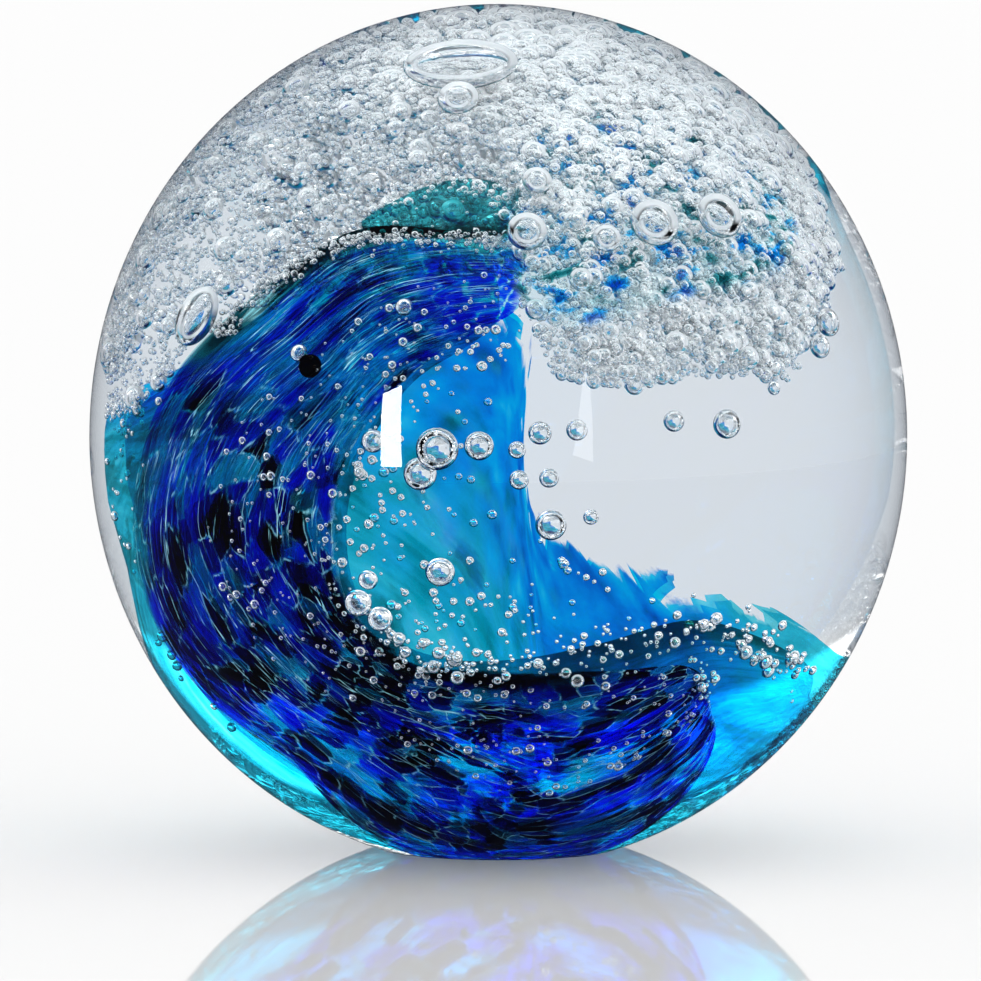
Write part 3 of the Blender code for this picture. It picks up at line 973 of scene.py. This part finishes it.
def foam_bubble(lon, lat, height, rng):
    """One bubble's radius and its distance from the body's centre in metres, or None in a gap."""
    coarse = eased(lon, -20, 25) if -150 < lon < 120 else 0.7
    coarse = max(coarse, eased(lat, 58, 76))
    streak = noise.noise(Vector((lon / STREAK_LENGTH, height / STREAK_HEIGHT, 3.0))) + coarse
    if streak < rng.uniform(-0.4, 0.16):
        return None
    size = (BUBBLE_RADIUS + BUBBLE_RADIUS_COARSE * coarse) * MM
    size *= math.exp(rng.gauss(0.0, 0.32 + 0.18 * coarse))
    if rng.random() < 0.012 + 0.010 * coarse:
        size = rng.uniform(BIG_LOW, BIG_HIGH) * MM
    rise = (FOAM_LIFT - FOAM_LIFT_COARSE * coarse) * min(height / 35, 1.0)
    rise += rng.uniform(-FOAM_HALF_THICKNESS, FOAM_HALF_THICKNESS)
    return min(size, BIG_HIGH * MM), BODY_RADIUS + rise * MM


rng = random.Random(FOAM_SEED)
for batch in range(FOAM_BATCHES):
    bm = bmesh.new()
    made = 0
    while made < FOAM_BUBBLES // FOAM_BATCHES:
        lon = rng.uniform(-180, 180)
        lat = math.degrees(math.asin(rng.uniform(0.0, 1.0)))
        height = lat - foam_edge(lon)
        if height < 0 or (height < 3 and rng.random() > 0.5 + height * 0.17):
            continue
        bubble = foam_bubble(lon, lat, height, rng)
        if bubble is None:
            continue
        size, radius = bubble
        shape = TINY if size < 0.15 * MM else SMALL if size < 0.5 * MM else MEDIUM
        stamp(bm, shape, place(lon, lat, radius), size)
        made += 1
    node = "foam_cap" if batch == 0 else None
    finish_mesh(bm, f"foam_bubbles_{batch + 1}", foam_air, node)

# %% [markdown]
# ## The large bubbles
#
# These are placed one by one, where the photograph shows them: a pixel, and a radius in pixels, both
# followed through the casing. Those in the foam sit higher and stand out as domes. The one at the top
# is a wide flat lens, and the one on the left shoulder is an egg that leans over.

# %% Large bubbles
LARGE = [
    (458, 97, 20), (655, 222, 26), (720, 215, 25), (527, 231, 21), (537, 180, 15),
    (607, 238, 15), (727, 424, 15), (674, 421, 11), (577, 430, 11), (540, 433, 12),
    (551, 525, 16), (591, 517, 8), (549, 478, 10), (519, 480, 10), (517, 450, 9),
    (437, 449, 22), (479, 446, 15), (420, 474, 17), (373, 441, 12), (440, 572, 15),
    (358, 603, 14), (368, 580, 10), (380, 619, 13), (299, 353, 9), (404, 307, 9),
    (828, 322, 14), (820, 346, 12), (775, 368, 7), (774, 388, 7),
]
DOMES_ABOVE_PX = 260
DOME_LIFT, SINGLE_LIFT, LENS_LIFT = 3.2 * MM, 0.15 * MM, 5.5 * MM
LENS_PX, LENS_AXES = (460, 62), (4.5 * MM, 2.6 * MM, 2.8 * MM)
EGG_PX, EGG_AXES, EGG_LEAN = (196, 316), (1.9 * MM, 1.8 * MM, 2.6 * MM), 0.5

domes, singles = bmesh.new(), bmesh.new()
for px, py, radius_px in LARGE:
    size = shown_size(radius_px)
    if py < DOMES_ABOVE_PX:
        stamp(domes, FINE, through_glass(px, py, BODY_RADIUS + size + DOME_LIFT), size)
    else:
        stamp(singles, FINE, through_glass(px, py, BODY_RADIUS + size + SINGLE_LIFT), size)
stamp(domes, FINE, through_glass(*LENS_PX, BODY_RADIUS + LENS_LIFT), LENS_AXES)
stamp(domes, FINE, through_glass(*EGG_PX, BODY_RADIUS + DOME_LIFT), EGG_AXES, spin=EGG_LEAN)
finish_mesh(domes, "dome_bubbles", dome_air)
finish_mesh(singles, "large_bubbles", trapped_air)

# %% [markdown]
# ## Bubbles along the wave
#
# Fine bubbles cling to the wave. They are strung along its inner lip and its trough, thick along the
# crest, and sprinkled over its back and over the far wall that shows through the window. The lines
# are pixels of the photograph. The bubbles are scattered about them with a fixed seed.

# %% Bubbles along the wave
LIP = [(515, 350), (470, 352), (420, 378), (380, 420), (350, 480), (342, 540), (350, 600), (395, 652)]
TROUGH = [(395, 652), (450, 668), (520, 665), (600, 650), (690, 625), (760, 640), (805, 680)]
WINDOW = [(430, 430), (400, 520), (405, 600), (450, 630), (540, 620), (620, 612)]
LEFT_BANK = [(165, 350), (140, 390), (125, 440), (118, 500), (125, 580), (160, 670), (230, 750)]
CREST = [(525, 246), (470, 239), (400, 237), (352, 241), (300, 260), (260, 289), (215, 331)]


def strung(bm, line, count, spread_px, low_px, high_px, rng):
    """Bubbles along a line of pixels, scattered to both sides."""
    for _ in range(count):
        at = rng.uniform(0, len(line) - 1.001)
        (x0, y0), (x1, y1) = line[int(at)], line[int(at) + 1]
        t = at - int(at)
        px = x0 + (x1 - x0) * t + rng.gauss(0, spread_px)
        py = y0 + (y1 - y0) * t + rng.gauss(0, spread_px)
        if math.hypot(px - BALL_PX[0], (py - BALL_PX[1]) * 0.95) > BALL_HALF_PX * 0.96:
            continue
        size = shown_size(low_px * (high_px / low_px) ** (rng.random() ** 2))
        depth = BODY_RADIUS + rng.uniform(-0.3, 0.8) * MM
        stamp(bm, SMALL, through_glass(px, py, depth), size)


# Line, count, spread, least and greatest radius in pixels
STRINGS = [
    (LIP, 110, 14, 1.4, 6),
    (TROUGH, 260, 13, 1.6, 8),
    (CREST, 520, 5, 1.4, 4.5),
    (WINDOW, 110, 30, 1.6, 5),
    (LEFT_BANK, 90, 9, 1.6, 6),
]
WAVE_SEED = 23
BACK_BUBBLES, FAR_BUBBLES = 420, 90
FAR_DEPTH = 3.5 * MM

rng = random.Random(WAVE_SEED)
bm = bmesh.new()
for line, count, spread_px, low_px, high_px in STRINGS:
    strung(bm, line, count, spread_px, low_px, high_px, rng)
for _ in range(BACK_BUBBLES):
    share, across = rng.random(), rng.random()
    at = share * (len(WAVE_STATIONS) - 1.001)
    i, t = int(at), at - int(at)
    front = direction(*WAVE_STATIONS[i][0]).lerp(direction(*WAVE_STATIONS[i + 1][0]), t)
    between = direction(*WAVE_STATIONS[i][1]).lerp(direction(*WAVE_STATIONS[i + 1][1]), t)
    way = front.lerp(between, across).normalized()
    size = shown_size(1.3 * 4 ** (rng.random() ** 3))
    stamp(bm, SMALL, BODY + way * (BODY_RADIUS + size + 0.1 * MM), size)
for _ in range(FAR_BUBBLES):
    px, py = rng.uniform(350, 700), rng.uniform(380, 640)
    past_wall = px - 505 > max(0, py - 520) * 1.9
    if past_wall:
        continue
    size = shown_size(rng.uniform(1.6, 5)) * 0.7
    stamp(bm, SMALL, through_glass(px, py, BODY_RADIUS - FAR_DEPTH, far=True), size)
finish_mesh(bm, "wave_bubbles", wave_air)

# %% [markdown]
# ## Dark seed
#
# One round fleck of nearly black glass lies on the cobalt, under the crest's curl. It is a single chip that
# melted to a flat drop, so a flattened bubble shape with a very dark tint is enough.

# %% Dark seed
SEED_PX, SEED_LIFT = (310, 366), 0.4 * MM
SEED_AXES = (1.0 * MM, 0.5 * MM, 1.0 * MM)
seed_glass, r = material("dark_seed_glass")
tinted(r, (0.02, 0.010, 0.004, 1))
bm = bmesh.new()
stamp(bm, FINE, through_glass(*SEED_PX, BODY_RADIUS + SEED_LIFT), SEED_AXES)
finish_mesh(bm, "dark_seed", seed_glass)

# %% [markdown]
# ## Floor
#
# The photograph has a white ground with a pale mirror image and a soft shadow. The floor is a large
# plane of white, and the camera alone sees it glossy. Glass shows it a little greyer, like the
# photograph's clear part, and the polish shows it dark, as a studio's black cards would.

# %% Floor
FLOOR_HALF_SIDE = 8.0
FLOOR_GAP = 0.04 * MM
FLOOR_GLOSS = 0.4
floor_finish, r = material("studio_floor")
in_glass = r.add("ShaderNodeLightPath", out="Is Transmission Ray")
in_mirror = r.add("ShaderNodeLightPath", out="Is Singular Ray")
for_camera = r.add("ShaderNodeLightPath", out="Is Camera Ray")
white = r.mix(in_mirror, (0.97, 0.97, 0.97, 1), (0.05, 0.05, 0.06, 1))
white = r.mix(in_glass, white, (0.79, 0.83, 0.88, 1))
diffuse = r.add("ShaderNodeBsdfDiffuse", None, {"Color": white})
gloss = r.add("ShaderNodeBsdfGlossy", None, {"Color": (1, 1, 1, 1), "Roughness": 0.03})
r.surface(r.add("ShaderNodeMixShader", None, {0: for_camera * FLOOR_GLOSS, 1: diffuse, 2: gloss}))
bm = bmesh.new()
bmesh.ops.create_grid(bm, x_segments=1, y_segments=1, size=FLOOR_HALF_SIDE)
bmesh.ops.translate(bm, vec=(0, 0, -FLOOR_GAP), verts=bm.verts)
floor_mesh = bpy.data.meshes.new("floor")
bm.to_mesh(floor_mesh)
bm.free()
floor_mesh.materials.append(floor_finish)
floor = bpy.data.objects.new("floor", floor_mesh)
bpy.context.scene.collection.objects.link(floor)
floor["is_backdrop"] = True
print("floor laid")

# %% [markdown]
# ## World
#
# The world is plain white for the camera and for diffuse light, so colours come out as written. Rays
# that pass through glass see a studio with some shape in it, the same from every side: a grey backdrop
# up to well above the horizon, a bright ring of lamps, which gives the bubbles their sparkle, and a
# teal ceiling. Sharp reflections on the polish see it almost black, so the colours stay deep.

# %% World
world = bpy.data.worlds.new("studio")
bpy.context.scene.world = world
world.use_nodes = True
r = Recipe(world.node_tree)
height = r.add("ShaderNodeSeparateXYZ", None, {0: r.add("ShaderNodeTexCoord", out="Generated")}, out="Z")
studio = r.ramp(
    height * 0.5 + 0.5,
    (0.0, (0.77, 0.81, 0.86)),
    (0.68, (0.77, 0.81, 0.86)),
    (0.71, (0.9, 0.9, 0.9)),
    (0.73, (3.8, 3.8, 3.8)),
    (0.88, (3.8, 3.8, 3.8)),
    (0.90, (0.15, 0.40, 0.48)),
    (1.0, (0.15, 0.40, 0.48)),
)
mirrored = r.ramp(
    height * 0.5 + 0.5,
    (0.0, (0.04, 0.04, 0.05)),
    (0.75, (0.04, 0.04, 0.06)),
    (0.90, (0.08, 0.08, 0.10)),
    (1.0, (0.4, 0.4, 0.4)),
)
sharp = r.add("ShaderNodeLightPath", out="Is Singular Ray")
passing = r.add("ShaderNodeLightPath", out="Is Transmission Ray")
seen = r.mix(passing, r.mix(sharp, (1, 1, 1, 1), mirrored), studio)
background = r.add("ShaderNodeBackground", None, {"Color": seen, "Strength": 1.0})
r.add("ShaderNodeOutputWorld", None, {"Surface": background})
print("studio lit")

# %% [markdown]
# ## Strip lamps
#
# The photograph has two tall bright streaks on the ball's front, the mirror images of two lamps. A lamp
# is found by going backwards: from the camera through each corner of the streak to the polish, and
# mirrored there. The quad between the four ends is the lamp. It only shows in polish and lights nothing
# else, so it changes no colour.

# %% Strip lamps
LAMP_REACH = 0.4
LEFT_BRIGHTNESS, RIGHT_BRIGHTNESS = 24, 3
LEFT_STREAK_PX = [(383, 394), (402, 385), (402, 467), (381, 467)]
RIGHT_STREAK_PX = [(584, 361), (590, 385), (593, 462), (573, 455)]


def mirrored_by_ball(px, py, reach):
    """Where a lamp has to be for the ball's polish to show it at a pixel of the photograph."""
    skin, way, normal = on_skin(px, py)
    return skin + (way - normal * 2 * way.dot(normal)) * reach


def strip(name, corners, brightness):
    """A lamp with its corners at the pixels where its mirror image shows. Only gloss sees it."""
    glow, r = material(name)
    r.surface(r.add("ShaderNodeEmission", None, {"Strength": brightness}))
    bm = bmesh.new()
    ends = [bm.verts.new(mirrored_by_ball(px, py, LAMP_REACH)) for px, py in corners]
    bmesh.ops.contextual_create(bm, geom=ends)
    mesh = bpy.data.meshes.new(name)
    bm.to_mesh(mesh)
    bm.free()
    mesh.materials.append(glow)
    made = bpy.data.objects.new(name, mesh)
    bpy.context.scene.collection.objects.link(made)
    made.visible_camera = made.visible_diffuse = made.visible_transmission = False
    made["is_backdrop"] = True
    print(name, "corners in mm:", [[round(x / MM) for x in vertex.co] for vertex in mesh.vertices])


strip("left_strip", LEFT_STREAK_PX, LEFT_BRIGHTNESS)
strip("right_strip", RIGHT_STREAK_PX, RIGHT_BRIGHTNESS)

# %% [markdown]
# ## Render settings
#
# Light crosses many bubbles before it leaves the ball, so it needs many bounces.

# %% Settings and finish
GLASS_BOUNCES, MIRROR_BOUNCES, CLEAR_BOUNCES = 48, 24, 32
settings = bpy.context.scene
settings.view_settings.view_transform = "Standard"
settings.cycles.max_bounces = GLASS_BOUNCES
settings.cycles.transmission_bounces = GLASS_BOUNCES
settings.cycles.glossy_bounces = MIRROR_BOUNCES
settings.cycles.transparent_max_bounces = CLEAR_BOUNCES
